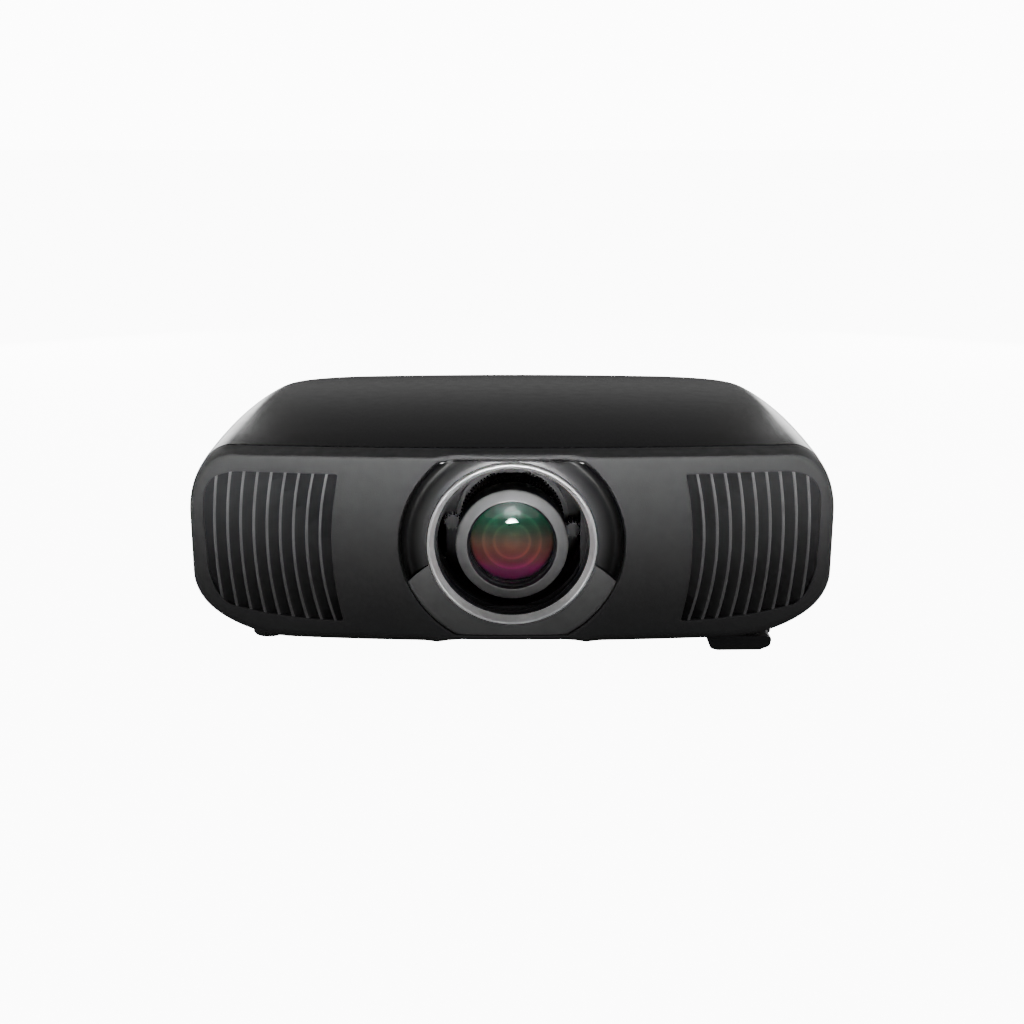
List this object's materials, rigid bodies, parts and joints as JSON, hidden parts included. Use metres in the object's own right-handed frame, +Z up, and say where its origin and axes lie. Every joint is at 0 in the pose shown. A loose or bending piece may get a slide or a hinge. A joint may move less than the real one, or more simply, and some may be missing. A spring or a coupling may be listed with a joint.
{
  "type": "home projector",
  "caption": "Home-cinema projector with a centred shifting zoom lens, sliding lens shutter, side grilles, fans, filter drawer and rear sockets.",
  "frame": {"origin": "on the floor, under the middle of the case", "axes": "+X to the right seen from the front, +Y to the rear, +Z up"},
  "size_m": [0.52, 0.447, 0.193],
  "materials": {
    "cover_black": "satin moulded black",
    "case_black": "moulded black",
    "panel_charcoal": "fine-grained charcoal",
    "grille_black": "moulded dark grey",
    "dish_gloss": "piano black",
    "chin_grey": "satin graphite",
    "ring_chrome": "satin chrome plating",
    "black_plastic": "moulded black",
    "motor_steel": "zinc plated",
    "nylon": "black acetal gears",
    "cast_metal": "black coated casting",
    "steel_rod": "ground steel",
    "barrel_black": "black anodised",
    "coated_glass": "multi-coated glass",
    "grip_rubber": "ribbed rubber",
    "laser_brass": "gold-toned housing",
    "fin_aluminium": "extruded fins",
    "phosphor": "phosphor-coated disc",
    "mirror_glass": "dichroic mirror",
    "panel_glass": "liquid crystal panel",
    "board_green": "circuit board",
    "board_tan": "circuit board",
    "filter_felt": "pleated filter felt",
    "socket_metal": "nickel plated",
    "window_smoke": "smoked window",
    "key_grey": "satin keys",
    "foot_rubber": "rubber",
    "brass_insert": "threaded inserts",
    "screw_steel": "blackened steel"
  },
  "bodies": {
    "case": {"top_cover": "cover_black", "bottom_case": "case_black", "front_panel": "panel_charcoal", "left_grille": "grille_black", "right_grille": "grille_black", "lens_dish": "dish_gloss", "chin_trim": "chin_grey", "lens_ring": "ring_chrome", "shutter_frame": "black_plastic", "shutter_motor": "motor_steel", "lens_mount": "cast_metal", "lift_motor": "motor_steel", "engine_base": "cast_metal", "laser_module": "laser_brass", "heat_sink": "fin_aluminium", "condenser_lenses": "coated_glass", "color_mirrors": "mirror_glass", "lcd_panels": "panel_glass", "prism": "coated_glass", "main_board": "board_green", "power_supply": "board_tan", "exhaust_fan_frame": "black_plastic", "intake_fan_frame": "black_plastic", "filter_rails": "case_black", "rear_panel": "black_plastic", "terminal_sockets": "socket_metal", "ac_inlet": "black_plastic", "signal_windows": "window_smoke", "control_panel": "black_plastic", "rear_feet": "foot_rubber", "base_bosses": "brass_insert", "case_screws": "screw_steel"},
    "shutter": {"shutter_door": "black_plastic"},
    "shutter_gear": {"shutter_pinion": "nylon"},
    "lift": {"lift_carriage": "cast_metal", "side_motor": "motor_steel"},
    "lens": {"side_carriage": "cast_metal", "lens_barrel": "barrel_black", "front_lens": "coated_glass", "lens_motors": "motor_steel"},
    "lift_drive": {"lift_screw": "steel_rod"},
    "side_drive": {"side_screw": "steel_rod"},
    "focus": {"focus_ring": "grip_rubber"},
    "zoom": {"zoom_ring": "grip_rubber"},
    "zoom_lens": {"zoom_group": "coated_glass"},
    "focus_gear": {"focus_pinion": "nylon"},
    "zoom_gear": {"zoom_pinion": "nylon"},
    "wheel": {"phosphor_wheel": "phosphor"},
    "pixel_plate": {"pixel_shift_plate": "coated_glass"},
    "exhaust_rotor": {"exhaust_fan_rotor": "black_plastic"},
    "intake_rotor": {"intake_fan_rotor": "black_plastic"},
    "filter": {"filter_drawer": "black_plastic", "filter_medium": "filter_felt"},
    "power_key": {"power_button": "key_grey"},
    "menu_key": {"menu_button": "key_grey"},
    "escape_key": {"escape_button": "key_grey"},
    "direction_key": {"direction_pad": "key_grey"},
    "enter_key": {"enter_button": "key_grey"},
    "left_foot": {"front_left_foot": "foot_rubber"},
    "right_foot": {"front_right_foot": "foot_rubber"}
  },
  "joints": [
    {"name": "shutter_slide", "type": "slide", "parent": "case", "child": "shutter", "axis": [-0.9981, -0.061, 0], "range_m": [0, 0.1155]},
    {"name": "shutter_pinion_spin", "type": "hinge", "parent": "case", "child": "shutter_gear", "pos_m": [0.05791, -0.19782, 0.16817], "axis": [0.0609, -0.9949, -0.0802], "range_deg": [-1103.94, 0]},
    {"name": "lens_lift", "type": "slide", "parent": "case", "child": "lift", "axis": [0, 0, 1], "range_m": [-0.0023, 0.0157]},
    {"name": "lens_side", "type": "slide", "parent": "lift", "child": "lens", "axis": [1, 0, 0], "range_m": [-0.0077, 0.0077]},
    {"name": "lift_screw_spin", "type": "hinge", "parent": "case", "child": "lift_drive", "pos_m": [-0.075, -0.0885, 0.09], "axis": [0, 0, 1], "range_deg": [-416, 2828]},
    {"name": "side_screw_spin", "type": "hinge", "parent": "lift", "child": "side_drive", "pos_m": [-0.05, -0.0995, 0.0643], "axis": [1, 0, 0], "range_deg": [-1388, 1388]},
    {"name": "focus_turn", "type": "hinge", "parent": "lens", "child": "focus", "pos_m": [0, -0.14, 0.1013], "axis": [0, -1, 0], "range_deg": [-60, 60]},
    {"name": "zoom_turn", "type": "hinge", "parent": "lens", "child": "zoom", "pos_m": [0, -0.12, 0.1013], "axis": [0, -1, 0], "range_deg": [-45, 45]},
    {"name": "focus_pinion_spin", "type": "hinge", "parent": "lens", "child": "focus_gear", "pos_m": [0.051, -0.14, 0.1013], "axis": [0, -1, 0], "range_deg": [-378, 378]},
    {"name": "zoom_pinion_spin", "type": "hinge", "parent": "lens", "child": "zoom_gear", "pos_m": [-0.051, -0.112, 0.1013], "axis": [0, -1, 0], "range_deg": [-284, 284]},
    {"name": "zoom_group_slide", "type": "slide", "parent": "lens", "child": "zoom_lens", "axis": [0, -1, 0], "range_m": [-0.0101, 0.0101]},
    {"name": "phosphor_spin", "type": "hinge", "parent": "case", "child": "wheel", "pos_m": [-0.03, 0.082, 0.108], "axis": [1, 0, 0], "continuous": true},
    {"name": "pixel_shift_rock", "type": "hinge", "parent": "case", "child": "pixel_plate", "pos_m": [0, -0.036, 0.108], "axis": [0, 0, 1], "range_deg": [-1, 1], "stiffness_Nm_per_rad": 0.02},
    {"name": "exhaust_fan_spin", "type": "hinge", "parent": "case", "child": "exhaust_rotor", "pos_m": [-0.188, -0.17, 0.1], "axis": [0, 1, 0], "continuous": true},
    {"name": "intake_fan_spin", "type": "hinge", "parent": "case", "child": "intake_rotor", "pos_m": [0.188, -0.17, 0.1], "axis": [0, 1, 0], "continuous": true},
    {"name": "filter_pull", "type": "slide", "parent": "case", "child": "filter", "axis": [0, -1, 0], "range_m": [0, 0.085]},
    {"name": "power_press", "type": "slide", "parent": "case", "child": "power_key", "axis": [-1, 0, 0], "range_m": [0, 0.0008], "stiffness_N_per_m": 400},
    {"name": "menu_press", "type": "slide", "parent": "case", "child": "menu_key", "axis": [-1, 0, 0], "range_m": [0, 0.0008], "stiffness_N_per_m": 400},
    {"name": "escape_press", "type": "slide", "parent": "case", "child": "escape_key", "axis": [-1, 0, 0], "range_m": [0, 0.0008], "stiffness_N_per_m": 400},
    {"name": "enter_press", "type": "slide", "parent": "case", "child": "enter_key", "axis": [-1, 0, 0], "range_m": [0, 0.0008], "stiffness_N_per_m": 400},
    {"name": "direction_rock", "type": "hinge", "parent": "case", "child": "direction_key", "pos_m": [0.246, 0.076, 0.12], "axis": [0, 1, 0], "range_deg": [-2.5, 2.5], "stiffness_Nm_per_rad": 0.2},
    {"name": "left_foot_screw", "type": "slide", "parent": "case", "child": "left_foot", "axis": [0, 0, -1], "range_m": [0, 0.012]},
    {"name": "right_foot_screw", "type": "slide", "parent": "case", "child": "right_foot", "axis": [0, 0, -1], "range_m": [0, 0.012]}
  ],
  "couplings": [
    {"joint": "shutter_pinion_spin", "follows": "shutter_slide", "rad_per_m": -166.67},
    {"joint": "lift_screw_spin", "follows": "lens_lift", "rad_per_m": 3141.6},
    {"joint": "side_screw_spin", "follows": "lens_side", "rad_per_m": 3141.6},
    {"joint": "focus_pinion_spin", "follows": "focus_turn", "ratio": -6.2857},
    {"joint": "zoom_pinion_spin", "follows": "zoom_turn", "ratio": -6.2857},
    {"joint": "zoom_group_slide", "follows": "zoom_turn", "m_per_rad": 0.012732}
  ]
}
